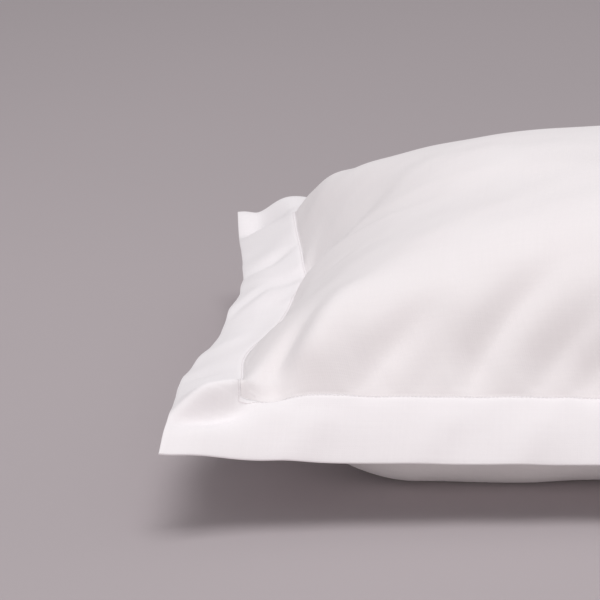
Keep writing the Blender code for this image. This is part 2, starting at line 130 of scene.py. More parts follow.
# Folds on the flat case, from start to end: how high each stands, how far it fades to the left and
# to the right of its run, and the shares of its run over which it grows and fades.
Fold = namedtuple(
    "Fold", "u_start v_start u_end v_end rise left_width right_width start_taper end_taper"
)
CASE_FOLDS = (
    # The step across the front left corner.
    Fold(-0.430, -0.263, -0.342, -0.2310, 0.0100, 0.022, 0.0065, 0.42, 0.45),
    Fold(-0.432, -0.275, -0.338, -0.2420, -0.0090, 0.0065, 0.013, 0.42, 0.50),
    # The roll beside the first valley, and the troughs that climb from the front stitching.
    Fold(-0.343, -0.2515, -0.243, -0.130, 0.0115, 0.026, 0.026, 0.35, 0.60),
    Fold(-0.366, -0.2515, -0.285, -0.148, -0.0095, 0.014, 0.018, 0.12, 0.55),
    Fold(-0.297, -0.2515, -0.197, -0.185, -0.0066, 0.013, 0.012, 0.28, 0.52),
    Fold(-0.256, -0.2515, -0.185, -0.205, -0.0035, 0.015, 0.016, 0.45, 0.50),
    Fold(-0.216, -0.2515, -0.105, -0.160, -0.0082, 0.013, 0.011, 0.22, 0.58),
    Fold(-0.166, -0.2515, -0.065, -0.187, -0.0056, 0.012, 0.011, 0.26, 0.60),
    Fold(-0.134, -0.2515, -0.030, -0.198, -0.0062, 0.012, 0.011, 0.22, 0.58),
    Fold(-0.085, -0.2515, 0.030, -0.165, -0.0065, 0.015, 0.011, 0.30, 0.55),
    Fold(-0.035, -0.2515, 0.070, -0.185, -0.0050, 0.014, 0.011, 0.25, 0.55),
    Fold(0.345, -0.262, 0.235, -0.130, -0.0050, 0.012, 0.016, 0.20, 0.60),
    Fold(0.245, -0.2515, 0.150, -0.150, -0.0045, 0.009, 0.015, 0.12, 0.60),
    Fold(0.165, -0.2515, 0.095, -0.185, -0.0035, 0.009, 0.014, 0.12, 0.60),
    # Troughs from the back and from the right stitching.
    Fold(-0.230, 0.2515, -0.140, 0.150, -0.0045, 0.012, 0.012, 0.10, 0.60),
    Fold(-0.090, 0.2515, -0.050, 0.140, -0.0040, 0.012, 0.014, 0.10, 0.60),
    Fold(0.080, 0.2515, 0.050, 0.160, -0.0040, 0.014, 0.012, 0.10, 0.60),
    Fold(0.230, 0.2515, 0.150, 0.130, -0.0050, 0.012, 0.014, 0.10, 0.60),
    Fold(0.381, 0.060, 0.250, 0.010, -0.0045, 0.012, 0.014, 0.10, 0.60),
    Fold(0.381, -0.040, 0.270, -0.050, -0.0035, 0.012, 0.012, 0.10, 0.60),
    # The left end's hip, its hollow, the shoulder behind that and the back corner.
    Fold(-0.372, 0.030, -0.190, -0.040, 0.0035, 0.007, 0.030, 0.05, 0.70),
    Fold(-0.385, 0.085, -0.230, 0.030, -0.0060, 0.030, 0.020, 0.10, 0.60),
    Fold(-0.400, 0.230, -0.240, 0.110, 0.0090, 0.040, 0.035, 0.40, 0.70),
    Fold(-0.385, 0.262, -0.300, 0.190, 0.0080, 0.022, 0.022, 0.35, 0.50),
)
FLANGE_FOLDS = (
    # The front flange.
    Fold(-0.305, -0.245, -0.345, -0.320, 0.0018, 0.016, 0.014, 0.30, 0.10),
    Fold(-0.205, -0.245, -0.260, -0.330, 0.0014, 0.014, 0.018, 0.30, 0.10),
    Fold(-0.145, -0.245, -0.175, -0.330, 0.0014, 0.013, 0.016, 0.30, 0.10),
    Fold(-0.060, -0.245, -0.080, -0.330, 0.0016, 0.016, 0.016, 0.30, 0.10),
    Fold(0.090, -0.245, 0.110, -0.330, 0.0022, 0.018, 0.016, 0.30, 0.10),
    Fold(0.230, -0.245, 0.270, -0.330, 0.0030, 0.018, 0.016, 0.30, 0.10),
    # The left flange.
    Fold(-0.370, 0.165, -0.432, 0.111, -0.0030, 0.010, 0.008, 0.30, 0.50),
    Fold(-0.370, 0.110, -0.430, -0.040, -0.0030, 0.008, 0.007, 0.20, 0.40),
    Fold(-0.370, -0.190, -0.432, -0.159, -0.0015, 0.006, 0.008, 0.20, 0.50),
    Fold(-0.380, -0.096, -0.450, -0.104, 0.0036, 0.026, 0.022, 0.45, 0.05),
    Fold(-0.385, 0.085, -0.450, 0.075, 0.0046, 0.028, 0.038, 0.45, 0.05),
    Fold(-0.385, -0.060, -0.450, -0.070, 0.0030, 0.030, 0.070, 0.45, 0.05),
    Fold(-0.385, -0.215, -0.450, -0.235, 0.0042, 0.050, 0.034, 0.45, 0.05),
    Fold(-0.402, 0.245, -0.402, 0.330, -0.0145, 0.016, 0.020, 0.30, 0.10),
    Fold(-0.365, 0.045, -0.470, 0.010, 0.0080, 0.070, 0.040, 0.40, 0.05),
    # The right and the back flange.
    Fold(0.370, 0.100, 0.450, 0.130, 0.0035, 0.020, 0.018, 0.30, 0.10),
    Fold(0.370, -0.110, 0.450, -0.140, -0.0035, 0.016, 0.018, 0.30, 0.10),
    Fold(-0.150, 0.245, -0.170, 0.330, 0.0035, 0.020, 0.020, 0.30, 0.10),
    Fold(0.140, 0.245, 0.160, 0.330, 0.0035, 0.020, 0.022, 0.30, 0.10),
)
# Fine creases of the cloth itself, which the solids leave out. Their lines are crisp: this is the
# share of a crease's width over which its line is rounded.
CREASE_ROUNDING = 0.35
CREASES = (
    # The crisp line along the hip, its run on along the top, and a crease under it.
    Fold(-0.372, 0.004, -0.290, 0.036, 0.0010, 0.004, 0.014, 0.05, 0.35),
    Fold(-0.335, 0.038, -0.150, -0.016, 0.0011, 0.005, 0.018, 0.25, 0.50),
    Fold(-0.350, -0.034, -0.285, -0.040, -0.0008, 0.006, 0.004, 0.25, 0.50),
    Fold(-0.300, -0.048, -0.240, -0.066, -0.0007, 0.005, 0.008, 0.30, 0.50),
    # Thin creases beside the left stitching.
    Fold(-0.376, -0.014, -0.348, -0.066, -0.0009, 0.003, 0.006, 0.15, 0.60),
    Fold(-0.376, -0.110, -0.345, -0.075, -0.0008, 0.004, 0.006, 0.15, 0.60),
    Fold(-0.376, -0.185, -0.350, -0.135, -0.0008, 0.003, 0.006, 0.15, 0.60),
    # The valley lines of the front folds.
    Fold(-0.371, -0.2515, -0.318, -0.180, -0.0020, 0.007, 0.009, 0.10, 0.50),
    Fold(-0.295, -0.2515, -0.218, -0.199, -0.0011, 0.008, 0.004, 0.10, 0.60),
    Fold(-0.270, -0.2515, -0.256, -0.236, -0.0006, 0.004, 0.005, 0.20, 0.60),
    Fold(-0.250, -0.2515, -0.212, -0.225, -0.0008, 0.006, 0.004, 0.20, 0.60),
    Fold(-0.224, -0.2515, -0.200, -0.236, -0.0007, 0.004, 0.004, 0.20, 0.60),
    Fold(-0.213, -0.2515, -0.125, -0.178, -0.0012, 0.009, 0.004, 0.10, 0.60),
    Fold(-0.164, -0.2515, -0.096, -0.206, -0.0012, 0.008, 0.004, 0.10, 0.60),
    Fold(-0.132, -0.2515, -0.070, -0.218, -0.0012, 0.007, 0.004, 0.10, 0.60),
    Fold(-0.084, -0.2515, -0.005, -0.192, -0.0010, 0.008, 0.004, 0.10, 0.60),
    Fold(-0.034, -0.2515, 0.030, -0.210, -0.0009, 0.007, 0.004, 0.10, 0.60),
    Fold(0.242, -0.2515, 0.185, -0.195, -0.0009, 0.004, 0.008, 0.10, 0.60),
    Fold(0.163, -0.2515, 0.120, -0.212, -0.0008, 0.004, 0.007, 0.10, 0.60),
    # The left flange, and the step across its front corner.
    Fold(-0.374, 0.160, -0.415, 0.128, -0.0009, 0.006, 0.003, 0.15, 0.50),
    Fold(-0.378, 0.100, -0.400, -0.015, -0.0009, 0.004, 0.003, 0.15, 0.50),
    Fold(-0.376, 0.040, -0.396, -0.040, -0.0006, 0.003, 0.003, 0.15, 0.50),
    Fold(-0.428, -0.150, -0.380, -0.198, -0.0006, 0.003, 0.004, 0.20, 0.50),
    Fold(-0.428, -0.266, -0.366, -0.243, 0.0014, 0.012, 0.0040, 0.25, 0.35),
    Fold(-0.428, -0.276, -0.366, -0.2515, -0.0024, 0.0050, 0.010, 0.25, 0.35),
)

# Extra rows of vertices beside the stitching, by their distance from it, and round the flange's
# turned edge, by their angle.
NEAR_STITCHING = (0.0007, 0.0015, 0.0025, 0.004, 0.006)
EDGE_TURNS = (0, 30, 60, 85)
# The stitching lies in a groove that fades over this distance on both sides.
GROOVE_WIDTH = 0.0014
# The distance from the stitching at which each kind of relief is at full height. At the stitching
# both pieces keep the same line, so that they meet.
GROOVE_FROM = 0.0006
PUCKERS_FROM = 0.003
CREASES_FROM = 0.004
UNEVEN_FROM = 0.03
# Puckers: their pitches and shares of the height, how far from the stitching they reach, and the
# ranges for the length, the start and the strength of the drift that keeps them uneven.
PUCKER_WAVES = ((0.0085, 0.30), (0.0130, 0.40), (0.0210, 0.55))
PUCKER_REACH = 0.009
DRIFT_LENGTHS = (0.05, 0.11)
DRIFT_STARTS = (0, 6.28)
DRIFT_SWINGS = (2, 4)
# Waves of the cloth's own unevenness: how long, and their share of its height, how many there are
# of each, and the range by which each one's length differs.
UNEVEN_WAVES = ((0.150, 1.0), (0.085, 0.6), (0.045, 0.3))
WAVES_PER_LENGTH = 7
LENGTH_SPREAD = (0.8, 1.25)
SEED = 11
# One stitch: shares of its length, and how high it lies there in thread diameters. It comes up
# through the cloth, lies over it in a low arch and goes down again.
STITCH_SHARES = (0.06, 0.16, 0.5, 0.84, 0.94)
STITCH_ARCH = (-0.6, 0.25, 0.5, 0.25, -0.6)

# Blender's band texture has one wave for each pi / 10 of its scaled length.
BAND = np.pi / 10
# Thicker yarns show over stretches of about 60 mm. Crinkles are some 10 mm across and the cotton's
# cloudiness some 70 mm, both as scales for one metre.
YARNS_PER_METRE = 16
CRINKLES_PER_METRE = 95
CLOUDS_PER_METRE = 14
# The distance between two turns of the sewing thread's ply.
PLY_PITCH = 0.0005

# The floor reaches this far each way, and lies this far under the case.
FLOOR_REACH = 9
FLOOR_CELLS = 40
FLOOR_DROP = 0.0003
SKY_COLOUR = (1, 0.99, 1, 1)
# The softboxes: colour, direction from the middle of the case, and distance.
Lamp = namedtuple("Lamp", "colour towards distance")
OVERHEAD = Lamp((1, 0.99, 1), (-0.12, -0.07, 1.0), 2.6)
LOW_IN_FRONT = Lamp((1, 0.955, 0.93), (-0.10, -0.97, 0.16), 3.0)
# The camera: its focal length and how far it looks aside, in pixels of a frame 600 pixels wide, its
# sensor's width in millimetres, how far it sees, and the height of the point it circles.
FOCAL_PIXELS = 5127
ASIDE_PIXELS = 450
FRAME_PIXELS = 600
SENSOR_WIDTH = 36
SIGHT = 100
AIM_HEIGHT = 0.084


class ClothSettings(bpy.types.PropertyGroup):
    """Sizes and colours of the cloth."""

    cell: FloatProperty(
        name="Cell", description="Size of the mesh's cells", default=0.0029, min=0.002,
        unit="LENGTH",
    )
    crease_depth: FloatProperty(
        name="Crease depth", description="Share of the creases' full depth", default=1.0, min=0,
        max=2,
    )
    pucker: FloatProperty(
        name="Pucker", description="Height of the puckers beside the stitching", default=0.00016,
        min=0, max=0.002, unit="LENGTH",
    )
    groove: FloatProperty(
        name="Groove", description="Depth to which the stitching draws the cloth in",
        default=0.0005, min=0, max=0.001, unit="LENGTH",
    )
    unevenness: FloatProperty(
        name="Unevenness", description="Height of the cloth's soft unevenness", default=0.0006,
        min=0, max=0.003, unit="LENGTH",
    )
    colour: StringProperty(
        name="Cotton colour", description="Colour of the percale as an sRGB hex value",
        default="F2EDEE",
    )
    # Colour of the flange's two layers: lighter than the single cloth, partly because two layers let
    # less light through and partly as painted light that brightens the flange.
    double_and_painted_light_colour: StringProperty(
        name="Double colour", description="Colour of two layers of percale as an sRGB hex value",
        default="F7F3F5",
    )
    weave_pitch: FloatProperty(
        name="Weave pitch", description="Distance between the threads as drawn", default=0.0016,
        min=0.0002, unit="LENGTH",
    )


class StitchSettings(bpy.types.PropertyGroup):
    """Sizes and colour of the stitching."""

    length: FloatProperty(
        name="Stitch length", description="Length of one lockstitch", default=0.003, min=0.001,
        unit="LENGTH",
    )
    diameter: FloatProperty(
        name="Thread", description="Diameter of the sewing thread", default=0.0004, min=0.0001,
        unit="LENGTH",
    )
    inset: FloatProperty(
        name="Inset", description="Distance of the stitches from the pocket's edge", default=0.0015,
        min=0.0005, unit="LENGTH",
    )
    colour: StringProperty(
        name="Thread colour", description="Colour of the thread as an sRGB hex value",
        default="F2EDEE",
    )


class StageSettings(bpy.types.PropertyGroup):
    """The floor, the light and the camera."""

    floor_colour: StringProperty(
        name="Floor colour", description="Colour of the floor as an sRGB hex value",
        default="B4ABAE",
    )
    sky: FloatProperty(
        name="Sky", description="Strength of the even light from all round", default=0.40, min=0
    )
    key: FloatProperty(
        name="Key light", description="Power of the softbox overhead, in watts", default=35, min=0
    )
    fill: FloatProperty(
        name="Fill light", description="Power of the softbox low in front, in watts", default=26,
        min=0,
    )
    distance: FloatProperty(
        name="Camera distance", description="From the middle of the case", default=3.7, min=1,
        unit="LENGTH",
    )
    elevation: FloatProperty(
        name="Camera elevation", description="Angle of the camera above the level, in degrees",
        default=17, min=0, max=90,
    )
    softbox_size: FloatProperty(
        name="Softbox size", description="Side of each softbox", default=1.6, min=0.1, unit="LENGTH"
    )


def between(first, second, share):
    """The value that share, from -1 to 1, gives between first and second."""
    return first + (second - first) * (share + 1) / 2


def smooth(edge_0, edge_1, value):
    """0 up to edge_0, 1 from edge_1, and an even S-curve between them."""
    share = np.clip((value - edge_0) / (edge_1 - edge_0), 0, 1)
    return share * share * (3 - 2 * share)


def reach(side, share):
    """How far the side's stitching lies from the middle, at a share from -1 to 1 along it."""
    room = np.where(share > side.sag_at, 1 - side.sag_at, 1 + side.sag_at)
    drawn_in = 1 - (np.abs(share - side.sag_at) / room) ** side.sag_power
    bulge = side.bulge * np.exp(-(((share - side.bulge_at) / BULGE_WIDTH) ** 2))
    return between(side.reach_a, side.reach_b, share) - side.sag * drawn_in + bulge


def height(side, share):
    """The height of the side's line of stitching."""
    return between(side.height_a, side.height_b, share) + side.bow * (1 - share**2)


def droop(side, share, tip):
    """The flange's angle below the level along the side, whose tips are at shares -tip and tip."""
    mid_share = 1 - (np.abs(share) / tip) ** side.droop_power
    tips = between(side.droop_a, side.droop_b, share / tip)
    return np.radians(tips + (side.droop_mid - tips) * mid_share)


def crowded(share):
    """Where a share of the flat top, from -1 to 1, lies once it is curved, seen from above."""
    return np.sin(SPREAD_ANGLE * share) / np.sin(SPREAD_ANGLE)


def bend_path(bend, share):
    """(run, rise) of the belly's profile at a share from -1 to 1 of the flat cloth."""
    size = np.abs(share)
    angle = np.radians(bend.angle)
    radius = (bend.bent - bend.flat) / angle
    turned = np.clip((size - bend.flat) / radius, 0, angle)
    straight = np.maximum(size - bend.bent, 0)
    run = np.minimum(size, bend.flat) + radius * np.sin(turned) + straight * np.cos(angle)
    rise = radius * (1 - np.cos(turned)) + straight * np.sin(angle)
    return run, rise


def laid(bend, share):
    """Where a share of the flat belly lies, seen from above."""
    return np.sign(share) * bend_path(bend, share)[0] / bend_path(bend, 1)[0]


def sunk(bend, share):
    """The belly's share of its full drop: 1 where it lies flat and 0 at the stitching."""
    return 1 - bend_path(bend, share)[1] / bend_path(bend, 1)[1]


def place(negative_side, positive_side, share, curved, across):
    """The place along one axis between two opposite sides, seen from above."""
    seen = share + (curved - share) * (1 - np.minimum(np.abs(across), 1) ** EDGE_EASE)
    low = reach(negative_side, across)
    high = reach(positive_side, across)
    return (high + low) / 2 * seen + (high - low) / 2 * seen**2


def stitch_height(p, q):
    """The level of the line of stitching, carried across the pocket from its four sides."""
    front, back = height(SIDES["front"], p), height(SIDES["back"], p)
    left, right = height(SIDES["left"], q), height(SIDES["right"], q)
    from_corners = between(
        between(SIDES["front"].height_a, SIDES["front"].height_b, p),
        between(SIDES["back"].height_a, SIDES["back"].height_b, p),
        q,
    )
    return between(front, back, q) + between(left, right, p) - from_corners


def end_fall(end, p, q):
    """The filling's share of its full height towards one end."""
    hip = end.hip_in + (end.hip_out - end.hip_in) * np.abs(p)
    behind = smooth(-end.hip_width, end.hip_width, q - hip)
    exponent = end.front_fullness + (end.back_fullness - end.front_fullness) * behind
    edge = end.front_edge + (end.back_edge - end.front_edge) * behind
    return np.maximum(1 - np.abs(p) ** exponent, 0) ** edge


def ridge(p):
    """The share of the depth at which the crown's ridge runs."""
    return RIDGE_MIDDLE + (RIDGE_LEFT - RIDGE_MIDDLE) * np.maximum(-p, 0) ** RIDGE_TURN


def fullness(p, q):
    """The filling's share of its full height: 1 in the middle and 0 along the line of stitching."""
    ends = np.where(p < 0, end_fall(ENDS["left"], p, q), end_fall(ENDS["right"], p, q))
    at_end = np.where(q < ridge(p), END_ARC_FRONT, END_ARC_BACK)
    share = np.where(q > ridge(p), (q - ridge(p)) / (1 - ridge(p)), (ridge(p) - q) / (1 + ridge(p)))
    arc = 1 - share ** (at_end + (MIDDLE_ARC - at_end) * (1 - np.abs(p) ** ARC_CHANGE))
    joined = np.maximum(ends, TINY) ** -CORNER_FULLNESS + np.maximum(arc, TINY) ** -CORNER_FULLNESS
    return (joined - 1) ** (-1 / CORNER_FULLNESS)


def fold_relief(folds, u, v, crisp=False):
    """How far the folds lift the cloth at a point of the flat case. Crisp ones have sharp lines."""
    relief = np.zeros_like(u)
    for fold in folds:
        run_u, run_v = fold.u_end - fold.u_start, fold.v_end - fold.v_start
        length = np.hypot(run_u, run_v)
        from_u, from_v = u - fold.u_start, v - fold.v_start
        along = (from_u * run_u + from_v * run_v) / length**2
        off = (from_v * run_u - from_u * run_v) / length
        width = np.where(off > 0, fold.left_width, fold.right_width)
        taper = smooth(0, fold.start_taper, along) * smooth(1, 1 - fold.end_taper, along)
        if crisp:
            faded = np.hypot(off / width, CREASE_ROUNDING) - CREASE_ROUNDING
        else:
            faded = (off / width) ** 2
        relief += fold.rise * taper * np.exp(-faded)
    return relief


def lift(u, v, folds):
    """The shift that folds give the cloth: upwards, and outwards too near the sides."""
    p, q = np.clip(u / HALF_LENGTH, -1, 1), np.clip(v / HALF_DEPTH, -1, 1)
    leaning = 1 - np.abs(p * q) ** CORNER_EASE
    lean = np.stack([LEAN_LONG * p**3 * leaning, LEAN_DEEP * q**3 * leaning, np.ones_like(p)], -1)
    direction = lean / np.linalg.norm(lean, axis=-1, keepdims=True)
    return direction * fold_relief(folds, u, v)[..., None]


def pocket_top(u, v):
    """Points of the pocket's top, over the flat case."""
    p, q = u / HALF_LENGTH, v / HALF_DEPTH
    x = place(SIDES["left"], SIDES["right"], p, crowded(p), q)
    y = place(SIDES["front"], SIDES["back"], q, crowded(q), p)
    z = stitch_height(p, q) + FLANGE_THICKNESS / 2 + CROWN_RISE * fullness(p, q)
    return np.stack([x, y, z], -1) + lift(u, v, CASE_FOLDS)


def pocket_belly(u, v):
    """Points of the pocket's underside, flat where it lies on the ground."""
    p, q = u / HALF_LENGTH, v / HALF_DEPTH
    x = place(SIDES["left"], SIDES["right"], p, laid(BELLY_LONG, p), q)
    y = place(SIDES["front"], SIDES["back"], q, laid(BELLY_DEEP, q), p)
    raised = 1 - sunk(BELLY_LONG, p) * sunk(BELLY_DEEP, q)
    z = (stitch_height(p, q) - FLANGE_THICKNESS / 2) * raised
    return np.stack([x, y, z], -1) + lift(u, v, CASE_FOLDS) * raised[..., None]


def hinged(out, angle):
    """(run, drop) at a distance out along a flange that is level up to HINGE_WIDTH and then droops.

    angle is its mean droop: it bends evenly, by FLANGE_CURL in all.
    """
    curl = np.radians(FLANGE_CURL)
    radius = (FLANGE_WIDTH - HINGE_WIDTH) / curl
    first = angle - curl / 2
    turned = first + np.maximum(out - HINGE_WIDTH, 0) / radius
    run = np.minimum(out, HINGE_WIDTH) + radius * (np.sin(turned) - np.sin(first))
    return run, radius * (np.cos(first) - np.cos(turned))


def flange_points(u, v):
    """Points of the flange's middle surface, over the flat case."""
    p, q = u / HALF_LENGTH, v / HALF_DEPTH
    inner_p, inner_q = np.clip(p, -1, 1), np.clip(q, -1, 1)
    out_x = np.maximum(np.abs(u) - HALF_LENGTH, 0)
    out_y = np.maximum(np.abs(v) - HALF_DEPTH, 0)
    tip_p, tip_q = 1 + FLANGE_WIDTH / HALF_LENGTH, 1 + FLANGE_WIDTH / HALF_DEPTH
    droop_x = np.where(u < 0, droop(SIDES["left"], q, tip_q), droop(SIDES["right"], q, tip_q))
    droop_y = np.where(v < 0, droop(SIDES["front"], p, tip_p), droop(SIDES["back"], p, tip_p))
    run_x, drop_x = hinged(out_x, droop_x)
    run_y, drop_y = hinged(out_y, droop_y)
    grown_x, grown_y = smooth(0, FLANGE_WIDTH, out_x), smooth(0, FLANGE_WIDTH, out_y)
    drop_x = drop_x * (1 - grown_y * (1 - grown_x))
    drop_y = drop_y * (1 - grown_x * (1 - grown_y))
    run_x = run_x + STITCH_GAP * (np.abs(inner_p) == 1)
    run_y = run_y + STITCH_GAP * (np.abs(inner_q) == 1)
    x = place(SIDES["left"], SIDES["right"], inner_p, inner_p, q) + run_x * np.sign(u)
    y = place(SIDES["front"], SIDES["back"], inner_q, inner_q, p) + run_y * np.sign(v)
    z = stitch_height(p, q) - drop_x - drop_y
    own_folds = lift(u, v, FLANGE_FOLDS) * smooth(0, FLANGE_WIDTH / 2, out_x + out_y)[..., None]
    return np.stack([x, y, z], -1) + lift(u, v, CASE_FOLDS) + own_folds


def normals(surface, u, v):
    """Unit normals of a surface, upwards."""
    along_u = surface(u + SLOPE_STEP, v) - surface(u - SLOPE_STEP, v)
    along_v = surface(u, v + SLOPE_STEP) - surface(u, v - SLOPE_STEP)
    normal = np.cross(along_u, along_v)
    return normal / np.linalg.norm(normal, axis=-1, keepdims=True)


def beyond_stitching(u, v):
    """How far a point of the flat case lies outside the line of stitching; inside is negative."""
    return np.maximum(np.abs(u) - HALF_LENGTH, np.abs(v) - HALF_DEPTH)


def unevenness(u, v):
    """Soft waves of the cloth, from -1 to 1 or so, the same each time."""
    rng = np.random.default_rng(SEED)
    total = np.zeros_like(u)
    for wave_length, share in UNEVEN_WAVES:
        for _ in range(WAVES_PER_LENGTH):
            heading, phase = rng.uniform(0, 2 * np.pi, 2)
            pitch = wave_length * rng.uniform(*LENGTH_SPREAD)
            along = u * np.cos(heading) + v * np.sin(heading)
            total += share * np.cos(2 * np.pi * along / pitch + phase)
    return total / np.sqrt(WAVES_PER_LENGTH)


def puckers(u, v):
    """Short puckers across the stitching, from -1 to 1 or so, which die out away from it."""
    rng = np.random.default_rng(SEED + 1)
    on_ends = (np.abs(u) - HALF_LENGTH) > (np.abs(v) - HALF_DEPTH)
    total = np.zeros_like(u)
    for pitch, share in PUCKER_WAVES:
        for along, chosen in ((v, on_ends), (u, ~on_ends)):
            drift, start = rng.uniform(*DRIFT_LENGTHS), rng.uniform(*DRIFT_STARTS)
            wander = rng.uniform(*DRIFT_SWINGS) * np.sin(2 * np.pi * along / drift + start)
            total += chosen * share * np.cos(2 * np.pi * along / pitch + wander)
    return total * np.exp(-np.abs(beyond_stitching(u, v)) / PUCKER_REACH)


def cloth_relief(cloth, u, v):
    """Creases, puckers, unevenness and the stitching's groove, along the cloth's normal."""
    away = np.abs(beyond_stitching(u, v))
    creases = cloth.crease_depth * fold_relief(CREASES, u, v, crisp=True)
    relief = creases * smooth(0, CREASES_FROM, away)
    relief += cloth.pucker * puckers(u, v) * smooth(0, PUCKERS_FROM, away)
    relief += cloth.unevenness * unevenness(u, v) * smooth(0, UNEVEN_FROM, away)
    groove = cloth.groove * np.exp(-((away / GROOVE_WIDTH) ** 2))
    return relief - groove * smooth(0, GROOVE_FROM, away)


def stops(half, cell):
    """Rows of vertices over the pocket from -half to half, closer beside the stitching."""
    inside = half - NEAR_STITCHING[-1]
    count = int(round(2 * inside / cell))
    near = half - np.array(NEAR_STITCHING[:-1])
    middle = np.linspace(-inside, inside, count + 1)
    return np.concatenate([[-half], -near, middle, near[::-1], [half]])


def flange_stops(cell):
    """Distances of the flange's rows of vertices from the stitching, out to its turned edge."""
    flat_part = FLANGE_WIDTH - EDGE_RADIUS
    first = np.array((0,) + NEAR_STITCHING[:-1])
    count = int(round((flat_part - NEAR_STITCHING[-1]) / cell))
    middle = np.linspace(NEAR_STITCHING[-1], flat_part, count + 1)[:-1]
    turned = flat_part + EDGE_RADIUS * np.sin(np.radians(EDGE_TURNS))
    return np.concatenate([first, middle, turned])


def flat_skins(bm, columns, rows):
    """Adds two flat grids, at heights 1 and -1, with vertices at the given columns and rows."""
    for level in (1, -1):
        cells_long, cells_deep = len(columns) - 1, len(rows) - 1
        made = bmesh.ops.create_grid(bm, x_segments=cells_long, y_segments=cells_deep, size=1)
        for vertex in made["verts"]:
            column = round((vertex.co.x + 1) / 2 * cells_long)
            row = round((vertex.co.y + 1) / 2 * cells_deep)
            vertex.co = (columns[column], rows[row], level)


def join_skins(bm, edges):
    """Joins one open loop of the upper skin to the same loop of the lower skin."""
    bmesh.ops.bridge_loops(bm, edges=edges)


def map_cloth(bm):
    """Lays a UV map over the cloth in metres of the flat case, for its weave."""
    layer = bm.loops.layers.uv.new("Cloth")
    for face in bm.faces:
        for loop in face.loops:
            loop[layer].uv = loop.vert.co.xy


def shape(bm, surface):
    """Moves every vertex from its flat place to its place on the upper or the lower surface."""
    flat = np.array([vertex.co for vertex in bm.verts])
    for vertex, point in zip(bm.verts, surface(flat[:, 0], flat[:, 1], flat[:, 2])):
        vertex.co = point
    bmesh.ops.recalc_face_normals(bm, faces=bm.faces)


def finished_piece(bm, name, material, slot, *replaced):
    """Turns the mesh into a named piece that rides on the case, in place of a solid."""
    mesh = bpy.data.meshes.new(name)
    bm.to_mesh(mesh)
    bm.free()
    mesh.materials.append(material)
    mesh.shade_smooth()
    piece = bpy.data.objects.new(name, mesh)
    bpy.context.scene.collection.objects.link(piece)
    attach(piece, "root")
    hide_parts(*replaced)
    return piece


def linear(hex_colour):
    """An sRGB hex value as linear RGBA."""
    parts = [int(hex_colour[at : at + 2], 16) / 255 for at in (0, 2, 4)]
    return (*[c / 12.92 if c <= 0.04045 else ((c + 0.055) / 1.055) ** 2.4 for c in parts], 1)


def add_node(tree, kind, settings=None, links=None, **values):
    """Adds a node with its settings and input values, and links its inputs from other outputs."""
    node = tree.nodes.new(kind)
    for name, value in (settings or {}).items():
        setattr(node, name, value)
    for name, value in values.items():
        node.inputs[name.replace("_", " ")].default_value = value
    for name, output in (links or {}).items():
        tree.links.new(output, node.inputs[name])
    return node


def new_material(name):
    """A material with a bare Principled shader, as (material, its node tree, the shader)."""
    material = bpy.data.materials.new(name)
    material.use_nodes = True
    return material, material.node_tree, material.node_tree.nodes["Principled BSDF"]


def add_bump(tree, height, strength, distance, under=None):
    """Adds a bump over the one under it, as the output of its normal."""
    links = {"Height": height}
    if under:
        links["Normal"] = under
    bump = add_node(tree, "ShaderNodeBump", None, links, Strength=strength, Distance=distance)
    return bump.outputs["Normal"]


